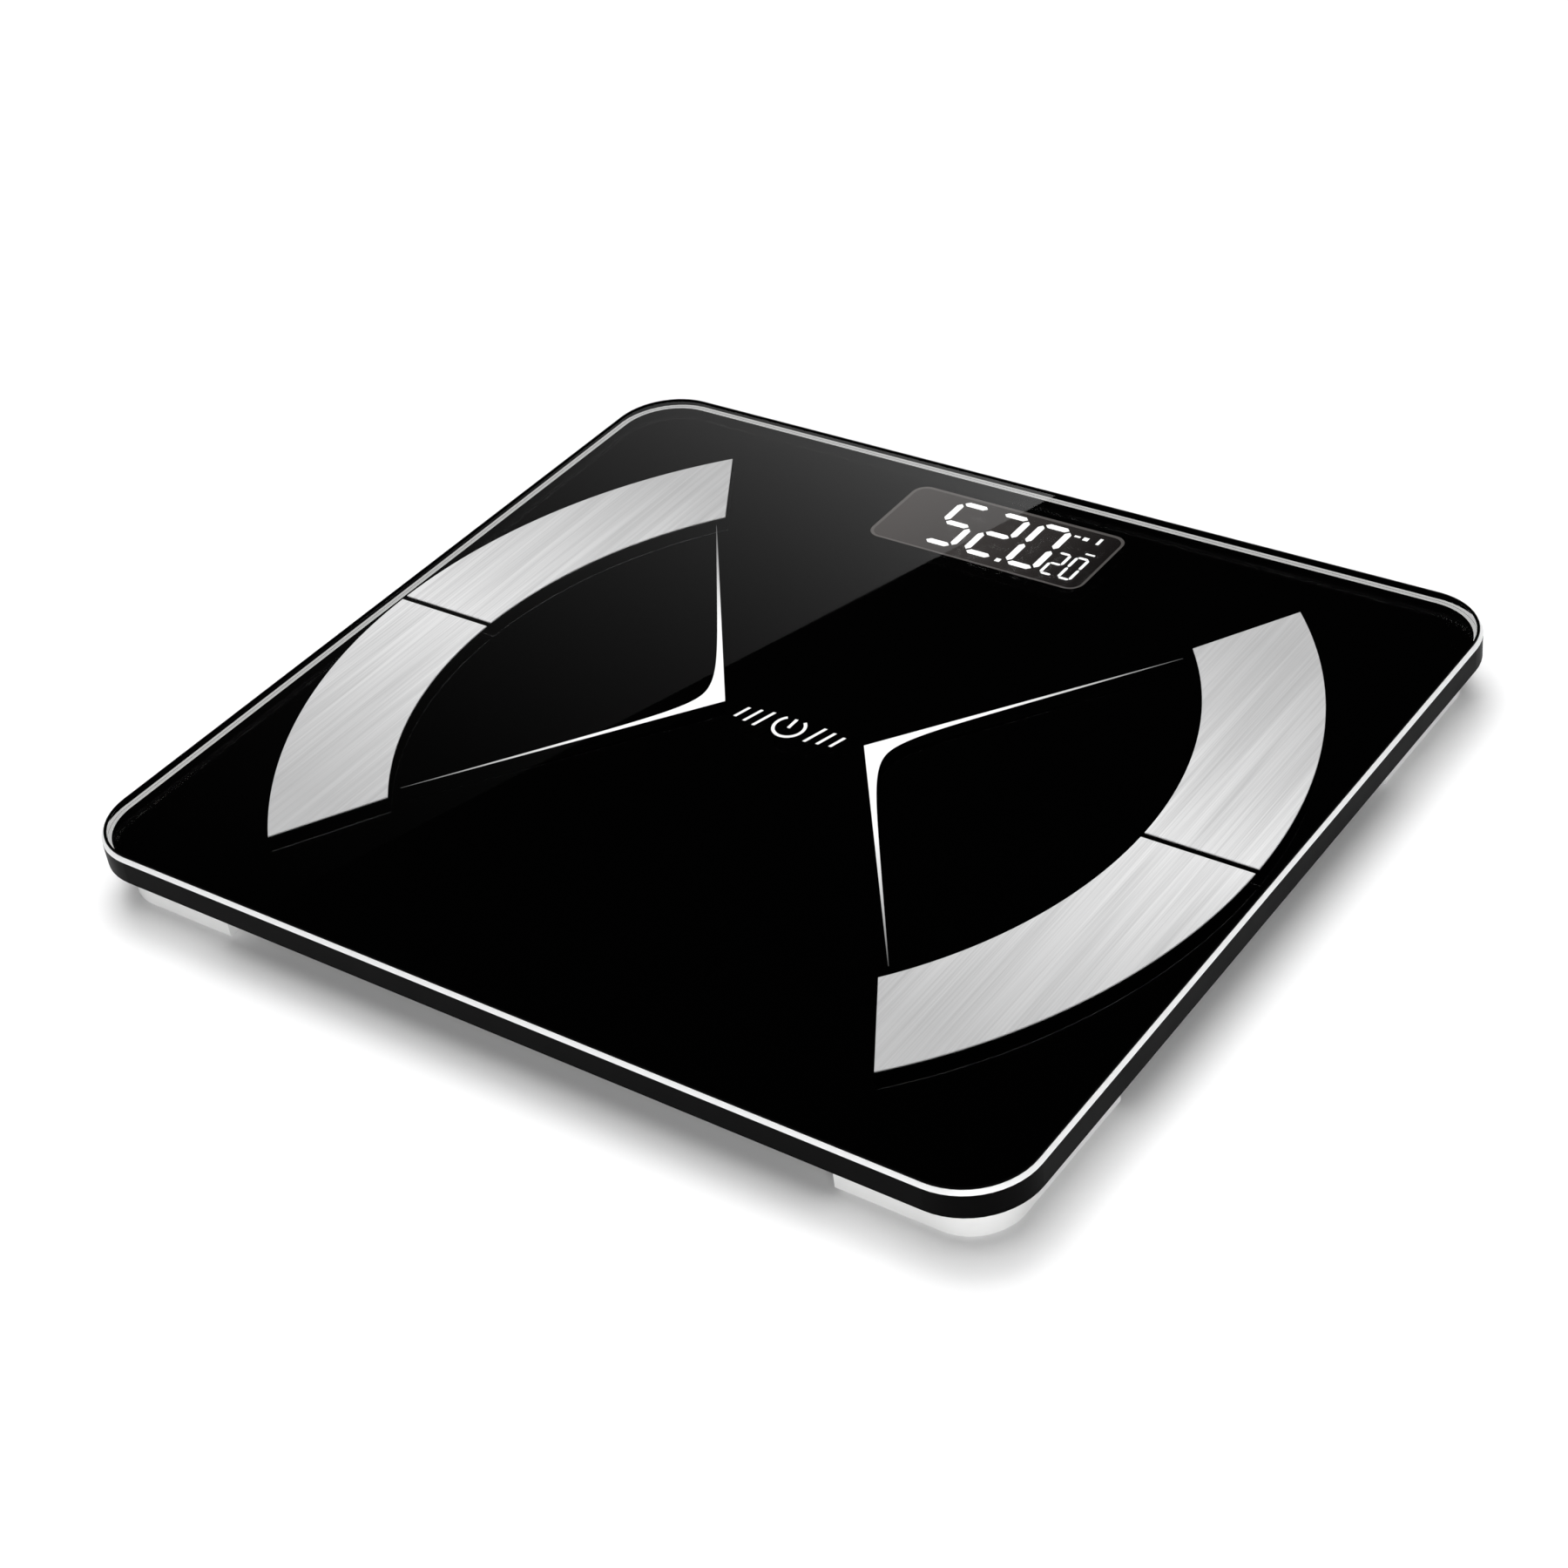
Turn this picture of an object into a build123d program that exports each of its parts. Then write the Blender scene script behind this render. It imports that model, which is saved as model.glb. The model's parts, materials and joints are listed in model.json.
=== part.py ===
from build123d import *
import math
import os

os.makedirs("parts", exist_ok=True)

# Driving dimensions, in millimetres. X is the width, Y the depth, and the display is at +Y.
plate_width = 290.0
plate_depth = 260.0
corner_radius = 19.5
glass_top = 21.0           # height of the standing surface above the floor
slab_height = 8.6          # glass and tray together
glass_thickness = 5.0
film_thickness = 0.2
air_gap = 0.05             # between pieces that are stacked but not bonded

# The edge: a bevelled trim ring sits on the tray wall, outside a thin black lip.
trim_width = 0.85
trim_height = 1.1
trim_top_width = 0.1
lip_width = 0.5
lip_rise = 0.35            # the lip stands this far above the glass and guards its edge
glass_inset = trim_width + lip_width + air_gap
film_border = 1.05         # the print stops this far short of the glass edge
gasket_width = 3.9
gasket_thickness = 0.8

# Base tray
tray_bottom = glass_top - slab_height
tray_floor = 1.8
tray_edge_chamfer = 0.6
boss_height = 1.3

# Foot blocks in the corners, one load cell in each
block_size_x = 43.0
block_size_y = 56.0
block_inset = 5.5
block_bottom = 1.2
block_wall = 2.0
block_corner_inner = 3.0
cell_size = 38.0
cell_thickness = 2.0
cell_bottom = 8.5
tongue_width = 14.0
tongue_length = 23.5
foot_radius = 15.0
foot_clearance = 0.5
foot_bottom = 0.7
flange_radius = 16.5
pad_radius = 13.0
pad_thickness = 1.2

# Screws: every shank has air_gap of clearance in its hole.
shank_radius = 1.2
head_radius = 2.4
head_height = 1.4

# Electrodes and their contacts
electrode_outer_radius = 149.0
electrode_inner_radius = 117.0
electrode_centre = 10.0    # the arcs are centred this far past the middle
electrode_end_angle = 57.8
electrode_end_cross = 30.4 # where the line of an electrode's end meets the X axis
electrode_gap = 2.0
electrode_thickness = 0.35
contact_x = 122.0
contact_y = 14.0
contact_radius = 1.5

# Display
display_x = -2.0
display_y = 105.0
window_width = 72.0
window_depth = 30.0
window_radius = 4.5
lcd_width = 76.0
lcd_depth = 34.0
lcd_thickness = 2.0
lcd_frame_width = 80.5
lcd_frame_depth = 37.6
backlight_thickness = 2.5

# Electronics cover and board
cover_half_width = 58.0
cover_front = 16.0
cover_back = 126.5
cover_bottom = 2.2
cover_wall = 1.8
cover_floor = 1.6
cover_radius = 6.0
cover_screws = [(54.0, 22.0), (-54.0, 22.0), (54.0, 121.0), (-54.0, 121.0)]
board_half_width = 48.5
board_front = 67.0
board_back = 123.0
board_bottom = 9.4
board_thickness = 1.6
board_screws = [(45.0, 71.0), (-45.0, 71.0), (45.0, 119.0), (-45.0, 119.0)]
bay_opening_half_width = 49.5
bay_opening_front = 65.5
bay_opening_back = 124.2

# Battery bay for three AAA cells
bay_length = 51.0
bay_depth = 36.0
bay_centre_y = 42.5
bay_wall = 2.0
battery_radius = 5.25
battery_length = 44.5
battery_pitch = 11.2
battery_height = 9.3
nub_radius = 1.9
nub_length = 0.8
contact_plate = 0.4
door_gap = 0.3
hinge_pin_radius = 0.6
hinge_pin_length = 1.5

# Unit button and its switch
button_x = 30.0
button_y = 76.0
button_radius = 4.5
button_flange_radius = 6.0
button_travel = 0.5
plunger_radius = 1.7

# Leads
lead_radius = 0.6
lead_height = 14.97
header_x = 41.0
header_width = 5.0

# Worked out from the driving dimensions
glass_bottom = glass_top - glass_thickness
film_top = glass_bottom - air_gap
film_bottom = film_top - film_thickness
gasket_top = film_bottom - air_gap
gasket_bottom = gasket_top - gasket_thickness
floor_top = tray_bottom + tray_floor
ring_bottom = glass_top - air_gap - trim_height
trim_slope = math.degrees(math.atan2(trim_width - trim_top_width, trim_height))
block_x = plate_width / 2 - block_inset - block_size_x / 2
block_y = plate_depth / 2 - block_inset - block_size_y / 2
board_top = board_bottom + board_thickness
cover_length = cover_back - cover_front
cover_centre_y = (cover_back + cover_front) / 2
corners = {
    "front_left": (-1, -1),
    "front_right": (1, -1),
    "back_left": (-1, 1),
    "back_right": (1, 1),
}
lead_start_x = block_x - 15.5   # each cell's lead leaves the inner side of its plate
block_screw_x = 17.0
block_screw_y = 22.5
hole_radius = shank_radius + air_gap


def outline(inset, mode=Mode.ADD):
    # The plate's rounded rectangle, moved inwards by inset.
    width = plate_width - 2 * inset
    depth = plate_depth - 2 * inset
    RectangleRounded(width, depth, corner_radius - inset, mode=mode)


def finish(piece, name):
    piece.label = name
    export_step(piece, f"parts/{name}.step")


def screw(x, y, head_bottom, length):
    # A pan-head screw pointing up, with a cross recess in its head.
    with BuildPart() as fastener:
        with BuildSketch(Plane.XY.offset(head_bottom)):
            with Locations((x, y)):
                Circle(head_radius)
        extrude(amount=head_height)
        with BuildSketch(Plane.XY.offset(head_bottom)):
            with Locations((x, y)):
                Circle(shank_radius)
        extrude(amount=length)
        with BuildSketch(Plane.XY.offset(head_bottom)):
            with Locations((x, y)):
                Rectangle(2.6, 0.6)
                Rectangle(0.6, 2.6)
        extrude(amount=head_height / 2, mode=Mode.SUBTRACT)
    return fastener.part


def block_screw_places():
    places = []
    for sx, sy in corners.values():
        for side in (-1, 1):
            x = sx * block_x + side * block_screw_x
            y = sy * block_y - side * sx * sy * block_screw_y
            places.append((x, y))
    return places


# ---- Glass, film, gasket and trim ----

contact_places = [(sx * contact_x, sy * contact_y) for sx, sy in corners.values()]

with BuildPart() as glass:
    with BuildSketch(Plane.XY.offset(glass_bottom)):
        outline(glass_inset)
        with Locations(*contact_places):
            Circle(contact_radius + 0.5, mode=Mode.SUBTRACT)
    extrude(amount=glass_thickness)
    top_edges = glass.faces().sort_by(Axis.Z)[-1].outer_wire().edges()
    chamfer(top_edges, 0.25)
finish(glass.part, "glass_platform")

with BuildPart() as film:
    with BuildSketch(Plane.XY.offset(film_bottom)):
        outline(glass_inset + film_border)
        with Locations(*contact_places):
            Circle(contact_radius + 0.8, mode=Mode.SUBTRACT)
        with Locations((display_x, display_y)):
            RectangleRounded(window_width, window_depth, window_radius, mode=Mode.SUBTRACT)
    extrude(amount=film_thickness)
finish(film.part, "printed_film")

with BuildPart() as gasket:
    with BuildSketch(Plane.XY.offset(gasket_bottom)):
        outline(glass_inset + air_gap)
        outline(glass_inset + gasket_width, mode=Mode.SUBTRACT)
    extrude(amount=gasket_thickness)
    with BuildSketch(Plane.XY.offset(gasket_bottom)):
        outline(glass_inset + air_gap)
        outline(glass_inset + film_border - air_gap, mode=Mode.SUBTRACT)
    extrude(amount=film_top - gasket_bottom)
finish(gasket.part, "border_gasket")

with BuildPart() as trim:
    with BuildSketch(Plane.XY.offset(ring_bottom)):
        outline(0)
    extrude(amount=trim_height, taper=trim_slope)
    with BuildSketch(Plane.XY.offset(ring_bottom)):
        outline(trim_width)
    extrude(amount=trim_height, mode=Mode.SUBTRACT)
finish(trim.part, "trim_ring")

# ---- Base tray: floor, wall, gasket ledge, battery hump, bosses and cell rails ----

with BuildPart() as tray:
    with BuildSketch(Plane.XY.offset(tray_bottom)):
        outline(0)
    extrude(amount=ring_bottom - tray_bottom)
    chamfer(tray.faces().sort_by(Axis.Z)[0].edges(), tray_edge_chamfer)
    with BuildSketch(Plane.XY.offset(ring_bottom)):
        outline(trim_width + 0.02)
    extrude(amount=glass_top + lip_rise - ring_bottom)
    with BuildSketch(Plane.XY.offset(gasket_bottom)):
        outline(trim_width + lip_width)
    extrude(amount=2 * slab_height, mode=Mode.SUBTRACT)
    with BuildSketch(Plane.XY.offset(floor_top)):
        outline(glass_inset + gasket_width + 0.2)
    extrude(amount=2 * slab_height, mode=Mode.SUBTRACT)
    with BuildSketch(Plane.XY.offset(floor_top)):
        with Locations((0, bay_centre_y)):
            RectangleRounded(bay_length + 2 * bay_wall, bay_depth + 2 * bay_wall, 2.0)
        with Locations(*block_screw_places()):
            Circle(head_radius + 0.6)
        with Locations(*cover_screws):
            Circle(head_radius + 0.4)
    extrude(amount=boss_height)
    with BuildSketch(Plane.XY.offset(tray_bottom)):
        with Locations((0, bay_centre_y)):
            Rectangle(bay_length, bay_depth)
    extrude(amount=tray_floor + 0.5, mode=Mode.SUBTRACT)
    with BuildSketch(Plane.XY.offset(tray_bottom)):
        with Locations((0, (bay_opening_front + bay_opening_back) / 2)):
            Rectangle(2 * bay_opening_half_width, bay_opening_back - bay_opening_front)
        for sx, sy in corners.values():
            with Locations((sx * lead_start_x, sy * block_y)):
                Circle(3.2)
    extrude(amount=tray_floor, mode=Mode.SUBTRACT)
    with BuildSketch(Plane.XY.offset(tray_bottom)):
        with Locations(*block_screw_places(), *cover_screws):
            Circle(hole_radius)
    extrude(amount=tray_floor + boss_height - 0.5, mode=Mode.SUBTRACT)
    with BuildSketch(Plane.XY.offset(tray_bottom)):
        for sx, sy in corners.values():
            for side in (-1, 1):
                with Locations((sx * block_x, sy * block_y + side * 17.0)):
                    Rectangle(cell_size - 2, 2.5)
    extrude(amount=cell_bottom + cell_thickness - tray_bottom)
finish(tray.part, "base_tray")

with BuildPart() as bond_pads:
    with BuildSketch(Plane.XY.offset(floor_top)):
        with Locations((0, -108)):
            RectangleRounded(70, 10, 1.5)
        with Locations((0, -45)):
            RectangleRounded(50, 14, 1.5)
        with Locations((75, 110), (-75, 110)):
            RectangleRounded(24, 14, 1.5)
        with Locations((128, -45), (-128, -45)):
            RectangleRounded(10, 30, 1.5)
    extrude(amount=film_bottom - floor_top)
finish(bond_pads.part, "glass_bond_pads")

# ---- Electrodes and their contact studs ----

for name, (sx, sy) in corners.items():
    slope = math.tan(math.radians(electrode_end_angle))
    reach = plate_width / 2
    low = electrode_gap / 2
    with BuildPart() as electrode:
        with BuildSketch(Plane.XY.offset(glass_top)):
            with Locations((-sx * electrode_centre, 0)):
                Circle(electrode_outer_radius)
                Circle(electrode_inner_radius, mode=Mode.SUBTRACT)
            with BuildLine():
                Polyline(
                    (sx * (electrode_end_cross + low / slope), sy * low),
                    (sx * reach, sy * low),
                    (sx * reach, sy * slope * (reach - electrode_end_cross)),
                    close=True,
                )
            make_face(mode=Mode.INTERSECT)
        extrude(amount=electrode_thickness)
        chamfer(electrode.faces().sort_by(Axis.Z)[-1].edges(), 0.08)
    finish(electrode.part, f"electrode_{name}")

with BuildPart() as contacts:
    with BuildSketch(Plane.XY.offset(lead_height - lead_radius)):
        with Locations(*contact_places):
            Circle(contact_radius)
    extrude(amount=glass_top - lead_height + lead_radius)
finish(contacts.part, "electrode_contacts")

# ---- Corner blocks, load cells, feet and pads ----


def foot_block(sx, sy):
    centre = (sx * block_x, sy * block_y)
    inner_x = block_size_x - 2 * block_wall
    inner_y = block_size_y - 2 * block_wall
    floor_level = block_bottom + block_wall
    with BuildPart() as block:
        with BuildSketch(Plane.XY.offset(block_bottom)) as plan:
            with Locations(centre):
                Rectangle(block_size_x, block_size_y)
            along = Vector(sx, sy, 0)
            corner_points = plan.vertices().sort_by(lambda v: Vector(v.X, v.Y, 0).dot(along))
            fillet(corner_points[-1], corner_radius - block_inset)
            rest = plan.vertices().sort_by(lambda v: Vector(v.X, v.Y, 0).dot(along))
            fillet(rest[0], block_corner_inner)
        extrude(amount=tray_bottom - block_bottom)
        chamfer(block.faces().sort_by(Axis.Z)[0].edges(), 0.6)
        with BuildSketch(Plane.XY.offset(floor_level)) as hollow:
            with Locations(centre):
                Rectangle(inner_x, inner_y)
            points = hollow.vertices().sort_by(lambda v: Vector(v.X, v.Y, 0).dot(along))
            fillet(points[-1], corner_radius - block_inset - block_wall)
        extrude(amount=tray_bottom, mode=Mode.SUBTRACT)
        with BuildSketch(Plane.XY.offset(floor_level)):
            with Locations(centre):
                Rectangle(inner_x, cell_size + 4)
                Rectangle(cell_size - 4, cell_size - 4, mode=Mode.SUBTRACT)
        extrude(amount=cell_bottom - floor_level)
        columns = [
            (centre[0] + side * block_screw_x, centre[1] - side * sx * sy * block_screw_y)
            for side in (-1, 1)
        ]
        with BuildSketch(Plane.XY.offset(floor_level)):
            with Locations(*columns):
                Circle(head_radius + 1.0)
        extrude(amount=tray_bottom - floor_level)
        with BuildSketch(Plane.XY.offset(block_bottom)):
            with Locations(*columns):
                Circle(hole_radius)
        extrude(amount=tray_bottom, mode=Mode.SUBTRACT)
        with BuildSketch(Plane.XY.offset(block_bottom)):
            with Locations(*columns):
                Circle(head_radius + 0.2)
        extrude(amount=head_height + 0.6, mode=Mode.SUBTRACT)
        with BuildSketch(Plane.XY.offset(block_bottom)):
            with Locations(centre):
                Circle(foot_radius + foot_clearance)
        extrude(amount=block_wall, mode=Mode.SUBTRACT)
    return block.part


def load_cell(sx, sy):
    # A square steel plate with a U-shaped slot that frees a tongue in its middle.
    with BuildPart() as cell:
        with BuildSketch(Plane.XY.offset(cell_bottom)):
            with Locations((sx * block_x, sy * block_y)):
                RectangleRounded(cell_size, cell_size, 3.0)
                Rectangle(tongue_width + 8, tongue_length + 2.5, mode=Mode.SUBTRACT)
            with Locations((sx * block_x, sy * (block_y - 1.25))):
                Rectangle(tongue_width, tongue_length)
        extrude(amount=cell_thickness)
    return cell.part


def foot(sx, sy):
    centre = (sx * block_x, sy * block_y)
    flange_bottom = block_bottom + block_wall + air_gap
    with BuildPart() as cap:
        with BuildSketch(Plane.XY.offset(foot_bottom)):
            with Locations(centre):
                Circle(foot_radius)
        extrude(amount=flange_bottom - foot_bottom)
        chamfer(cap.faces().sort_by(Axis.Z)[0].edges(), 0.4)
        with BuildSketch(Plane.XY.offset(flange_bottom)):
            with Locations(centre):
                Circle(flange_radius)
        extrude(amount=1.4)
        with BuildSketch(Plane.XY.offset(flange_bottom)):
            with Locations(centre):
                Circle(4.0)
        extrude(amount=cell_bottom - air_gap - flange_bottom)
        with BuildSketch(Plane.XY.offset(foot_bottom)):
            with Locations(centre):
                Circle(pad_radius + air_gap)
        extrude(amount=pad_thickness - foot_bottom, mode=Mode.SUBTRACT)
    return cap.part


def foot_pad(sx, sy):
    with BuildPart() as pad:
        with BuildSketch():
            with Locations((sx * block_x, sy * block_y)):
                Circle(pad_radius)
        extrude(amount=pad_thickness)
        chamfer(pad.faces().sort_by(Axis.Z)[0].edges(), 0.3)
    return pad.part


for name, (sx, sy) in corners.items():
    finish(foot_block(sx, sy), f"foot_block_{name}")
    finish(load_cell(sx, sy), f"load_cell_{name}")
    finish(foot(sx, sy), f"foot_{name}")
    finish(foot_pad(sx, sy), f"foot_pad_{name}")

screw_depth = tray_bottom + tray_floor + boss_height - 0.8
block_screw_head = block_bottom + 0.6
block_screws = Compound(
    children=[screw(x, y, block_screw_head, screw_depth - block_screw_head)
              for x, y in block_screw_places()]
)
finish(block_screws, "foot_block_screws")

with BuildPart() as gauges:
    with BuildSketch(Plane.XY.offset(cell_bottom + cell_thickness)):
        for sx, sy in corners.values():
            with Locations((sx * block_x, sy * (block_y - 8)), (sx * block_x, sy * (block_y - 2))):
                Rectangle(6, 4)
    extrude(amount=0.2)
finish(gauges.part, "strain_gauges")

# ---- Electronics cover ----

pivot_y = bay_centre_y - bay_depth / 2 + door_gap + cover_floor / 2
pivot_z = cover_bottom + cover_floor / 2

with BuildPart() as cover:
    with BuildSketch(Plane.XY.offset(cover_bottom)):
        with Locations((0, cover_centre_y)):
            RectangleRounded(2 * cover_half_width, cover_length, cover_radius)
    extrude(amount=tray_bottom - cover_bottom)
    chamfer(cover.faces().sort_by(Axis.Z)[0].edges(), 1.0)
    with BuildSketch(Plane.XY.offset(cover_bottom + cover_floor)):
        with Locations((0, cover_centre_y)):
            RectangleRounded(
                2 * (cover_half_width - cover_wall),
                cover_length - 2 * cover_wall,
                cover_radius - cover_wall,
            )
    extrude(amount=tray_bottom, mode=Mode.SUBTRACT)
    with BuildSketch(Plane.XY.offset(cover_bottom + cover_floor)):
        with Locations((0, bay_centre_y)):
            Rectangle(bay_length + 2 * bay_wall, bay_depth + 2 * bay_wall)
        with Locations(*cover_screws):
            Circle(head_radius + 0.9)
    extrude(amount=tray_bottom - cover_bottom - cover_floor)
    with BuildSketch(Plane.XY.offset(cover_bottom + cover_floor)):
        with Locations(*board_screws):
            Circle(head_radius + 0.3)
    extrude(amount=board_bottom - cover_bottom - cover_floor)
    with BuildSketch(Plane.XY.offset(cover_bottom)):
        with Locations((0, bay_centre_y)):
            Rectangle(bay_length, bay_depth)
        with Locations((button_x, button_y)):
            Circle(button_radius + 0.2)
        with Locations(*cover_screws):
            Circle(hole_radius)
    extrude(amount=tray_bottom, mode=Mode.SUBTRACT)
    with BuildSketch(Plane.XY.offset(cover_bottom)):
        with Locations(*cover_screws):
            Circle(head_radius + 0.2)
    extrude(amount=head_height + 0.6, mode=Mode.SUBTRACT)
    with BuildSketch(Plane.XY.offset(board_bottom)):
        with Locations(*board_screws):
            Circle(hole_radius)
    extrude(amount=-4.5, mode=Mode.SUBTRACT)
    with BuildSketch(Plane.YZ):
        with Locations((pivot_y, pivot_z)):
            Circle(hinge_pin_radius + air_gap)
    extrude(amount=bay_length / 2 + hinge_pin_length, both=True, mode=Mode.SUBTRACT)
finish(cover.part, "electronics_cover")

cover_screw_head = cover_bottom + 0.6
cover_screw_set = Compound(
    children=[screw(x, y, cover_screw_head, screw_depth - cover_screw_head)
              for x, y in cover_screws]
)
finish(cover_screw_set, "cover_screws")

# ---- Battery door: a flat panel with a rounded hinge edge and a pin at each end ----

door_back = bay_centre_y + bay_depth / 2 - door_gap
door_half_length = bay_length / 2 - door_gap

with BuildPart() as door:
    with BuildSketch(Plane.YZ):
        with Locations(((pivot_y + door_back) / 2, pivot_z)):
            Rectangle(door_back - pivot_y, cover_floor)
        with Locations((pivot_y, pivot_z)):
            Circle(cover_floor / 2)
    extrude(amount=door_half_length, both=True)
    with BuildSketch(Plane.YZ):
        with Locations((pivot_y, pivot_z)):
            Circle(hinge_pin_radius)
    extrude(amount=bay_length / 2 + hinge_pin_length - 0.1, both=True)
    with BuildSketch(Plane.XY.offset(cover_bottom)):
        with Locations((0, door_back - 7.0)):
            for row in range(4):
                with Locations((0, -1.6 * row)):
                    RectangleRounded(16, 0.8, 0.3)
    extrude(amount=0.5, mode=Mode.SUBTRACT)
    with BuildSketch(Plane.XY.offset(cover_bottom)):
        with Locations((0, door_back)):
            RectangleRounded(14, 4, 1.5)
    extrude(amount=0.7, mode=Mode.SUBTRACT)
finish(door.part, "battery_door")

# ---- Batteries, springs and end contacts ----

battery_shift = bay_length / 2 - contact_plate - battery_length / 2


def battery(index):
    y = bay_centre_y + (index - 1) * battery_pitch
    facing = -1 if index == 1 else 1
    start = facing * (battery_shift - battery_length / 2)
    with BuildPart() as cell:
        with BuildSketch(Plane.YZ.offset(start)):
            with Locations((y, battery_height)):
                Circle(battery_radius)
        extrude(amount=facing * (battery_length - nub_length))
        with BuildSketch(Plane.YZ.offset(start + facing * (battery_length - nub_length))):
            with Locations((y, battery_height)):
                Circle(nub_radius)
        extrude(amount=facing * nub_length)
    return cell.part


def battery_spring(index):
    # A conical coil between the end plate and the flat end of its battery.
    y = bay_centre_y + (index - 1) * battery_pitch
    facing = -1 if index == 1 else 1
    wire = 0.3
    plate_x = -facing * (bay_length / 2 - contact_plate - wire)
    free_length = 2 * battery_shift - 2 * wire
    with BuildPart() as spring:
        with BuildLine() as coil:
            Helix(
                pitch=free_length / 3,
                height=free_length,
                radius=3.4,
                center=(plate_x, y, battery_height),
                direction=(facing, 0, 0),
                cone_angle=-8,
            )
        with BuildSketch(Plane(coil.line @ 0, z_dir=coil.line % 0)):
            Circle(wire)
        sweep()
    return spring.part


for index in range(3):
    finish(battery(index), f"battery_{index + 1}")
finish(Compound(children=[battery_spring(index) for index in range(3)]), "battery_springs")

with BuildPart() as end_plates:
    for side in (-1, 1):
        with BuildSketch(Plane.YZ.offset(side * (bay_length / 2 - contact_plate))):
            with Locations((bay_centre_y, battery_height)):
                Rectangle(bay_depth - 1.0, 8.0)
        extrude(amount=side * contact_plate)
finish(end_plates.part, "battery_contacts")

power_lead_height = board_bottom + board_thickness / 2

with BuildPart() as power_leads:
    with BuildSketch(Plane.XZ.offset(-(bay_centre_y + bay_depth / 2 + bay_wall))):
        with Locations((20, power_lead_height), (-20, power_lead_height)):
            Circle(lead_radius)
    extrude(amount=-(board_front - bay_centre_y - bay_depth / 2 - bay_wall))
finish(power_leads.part, "power_leads")

# ---- Main board and what is on it ----

board_centre_y = (board_front + board_back) / 2

with BuildPart() as board:
    with BuildSketch(Plane.XY.offset(board_bottom)):
        with Locations((0, board_centre_y)):
            RectangleRounded(2 * board_half_width, board_back - board_front, 1.5)
        with Locations(*board_screws):
            Circle(hole_radius, mode=Mode.SUBTRACT)
    extrude(amount=board_thickness)
finish(board.part, "main_board")

board_screw_set = []
for x, y in board_screws:
    with BuildPart() as board_screw:
        with BuildSketch(Plane.XY.offset(board_top)):
            with Locations((x, y)):
                Circle(head_radius)
        extrude(amount=1.2)
        with BuildSketch(Plane.XY.offset(board_top)):
            with Locations((x, y)):
                Circle(shank_radius)
        extrude(amount=-(board_thickness + 4.0))
    board_screw_set.append(board_screw.part)
finish(Compound(children=board_screw_set), "board_screws")

with BuildPart() as chip:
    with BuildSketch(Plane.XY.offset(board_bottom)):
        with Locations((-8, 98)):
            RectangleRounded(12, 12, 0.4)
    extrude(amount=-1.2)
finish(chip.part, "controller_chip")

with BuildPart() as radio:
    with BuildSketch(Plane.XY.offset(board_bottom)):
        with Locations((-32, 84)):
            Rectangle(16, 20)
    extrude(amount=-0.8)
    with BuildSketch(Plane.XY.offset(board_bottom - 0.8)):
        with Locations((-32, 82)):
            RectangleRounded(13, 13, 1.0)
    extrude(amount=-1.4)
finish(radio.part, "wireless_module")

lead_rows = {"back_cell": 80.5, "back_contact": 77.0, "front_contact": 73.5, "front_cell": 70.0}

with BuildPart() as headers:
    with BuildSketch(Plane.XY.offset(board_top)):
        with Locations((header_x - header_width / 2, 75.25), (header_width / 2 - header_x, 75.25)):
            Rectangle(header_width, 14.5)
    extrude(amount=film_bottom - 0.1 - board_top)
finish(headers.part, "lead_headers")

with BuildPart() as switch:
    with BuildSketch(Plane.XY.offset(board_bottom)):
        with Locations((button_x, button_y)):
            RectangleRounded(6.2, 6.2, 0.4)
    extrude(amount=-3.4)
    with BuildSketch(Plane.XY.offset(board_bottom - 3.4)):
        with Locations((button_x, button_y)):
            Circle(plunger_radius + 0.1)
    extrude(amount=1.5, mode=Mode.SUBTRACT)
finish(switch.part, "unit_switch")

plunger_top = board_bottom - 3.4 + 0.8
plunger_bottom = board_bottom - 3.4 - 0.7

with BuildPart() as plunger:
    with BuildSketch(Plane.XY.offset(plunger_bottom)):
        with Locations((button_x, button_y)):
            Circle(plunger_radius)
    extrude(amount=plunger_top - plunger_bottom)
finish(plunger.part, "switch_plunger")

with BuildPart() as button:
    with BuildSketch(Plane.XY.offset(cover_bottom)):
        with Locations((button_x, button_y)):
            Circle(button_radius)
    extrude(amount=cover_floor + air_gap)
    with BuildSketch(Plane.XY.offset(cover_bottom)):
        with Locations((button_x, button_y)):
            Circle(2.6)
    extrude(amount=0.3, mode=Mode.SUBTRACT)
    with BuildSketch(Plane.XY.offset(cover_bottom + cover_floor + air_gap)):
        with Locations((button_x, button_y)):
            Circle(button_flange_radius)
    extrude(amount=0.9)
    with BuildSketch(Plane.XY.offset(cover_bottom + cover_floor + air_gap)):
        with Locations((button_x, button_y)):
            Circle(2.0)
    extrude(amount=plunger_bottom - cover_bottom - cover_floor - air_gap)
finish(button.part, "unit_button")

# ---- Display ----

lcd_bottom = film_bottom - air_gap - lcd_thickness


def display_layer(width, depth, low, height, corner):
    with BuildPart() as layer:
        with BuildSketch(Plane.XY.offset(low)):
            with Locations((display_x, display_y)):
                RectangleRounded(width, depth, corner)
        extrude(amount=height)
    return layer.part


finish(display_layer(lcd_width, lcd_depth, lcd_bottom, lcd_thickness, 0.6), "lcd_panel")
backlight_bottom = lcd_bottom - air_gap - backlight_thickness
finish(display_layer(68.0, 27.0, backlight_bottom, backlight_thickness, 1.0), "backlight")

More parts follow.
